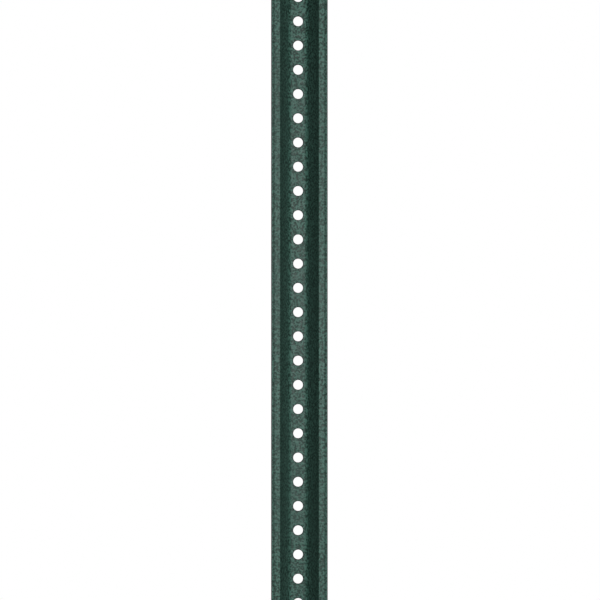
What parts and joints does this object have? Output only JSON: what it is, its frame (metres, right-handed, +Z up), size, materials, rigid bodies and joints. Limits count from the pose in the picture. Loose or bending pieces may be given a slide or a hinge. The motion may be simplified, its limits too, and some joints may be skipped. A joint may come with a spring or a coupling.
{
  "type": "sign post",
  "caption": "Upright flanged U-channel steel post with a row of round bolt holes down its web and square-cut ends, enamelled green.",
  "frame": {"origin": "on the back of the web, midway between the two stub bolts", "axes": "+Z up along the post, +X across the flanges, -Y out of the open side that carries the sign"},
  "size_m": [0.0586, 0.027, 1.8288],
  "materials": {
    "enamelled_steel": "satin"
  },
  "bodies": {
    "root": {"post": "enamelled_steel"}
  },
  "joints": []
}
